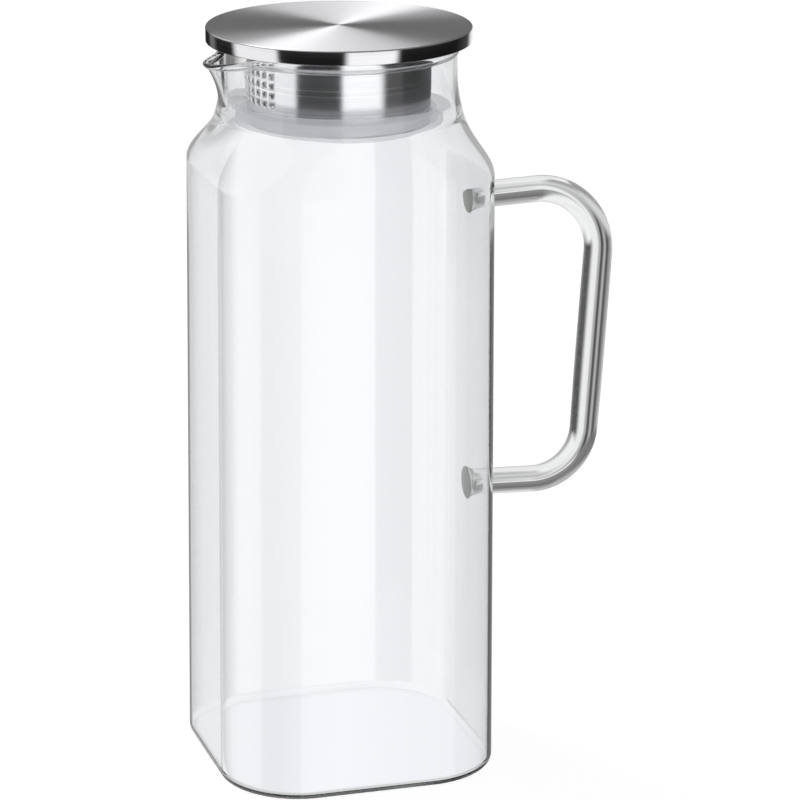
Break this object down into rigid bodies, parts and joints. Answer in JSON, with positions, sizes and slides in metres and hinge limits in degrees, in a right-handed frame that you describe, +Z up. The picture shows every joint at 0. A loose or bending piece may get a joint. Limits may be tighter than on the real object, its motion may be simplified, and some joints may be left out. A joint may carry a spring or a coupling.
{
  "type": "water carafe",
  "caption": "Tall clear glass carafe with a rounded-square body, round neck, pinched spout and glass rod handle, closed by a lift-out steel lid with a strainer and a silicone seal.",
  "frame": {"origin": "centre of the base, on the surface the carafe stands on", "axes": "+Z up along the neck's axis, +X towards the handle, -X towards the spout, +Y completes a right-handed frame"},
  "size_m": [0.1529, 0.1006, 0.2677],
  "materials": {
    "glass": "clear, polished borosilicate glass",
    "turned_steel": "circular brushing on top, bright rim",
    "plain_steel": "bright, fine brushing",
    "silicone": "translucent pale grey, satin"
  },
  "bodies": {
    "carafe": {"vessel": "glass", "handle": "glass"},
    "seal": {"seal_ring": "silicone"},
    "lid": {"lid_cap": "turned_steel", "lid_pan": "plain_steel", "strainer": "plain_steel"}
  },
  "joints": [
    {"name": "lid_lift", "type": "slide", "parent": "carafe", "child": "seal", "axis": [0, 0, 1], "range_m": [0, 0.04]},
    {"name": "lid_turn", "type": "hinge", "parent": "seal", "child": "lid", "pos_m": [0, 0, 0.2626], "axis": [0, 0, 1], "continuous": true}
  ]
}
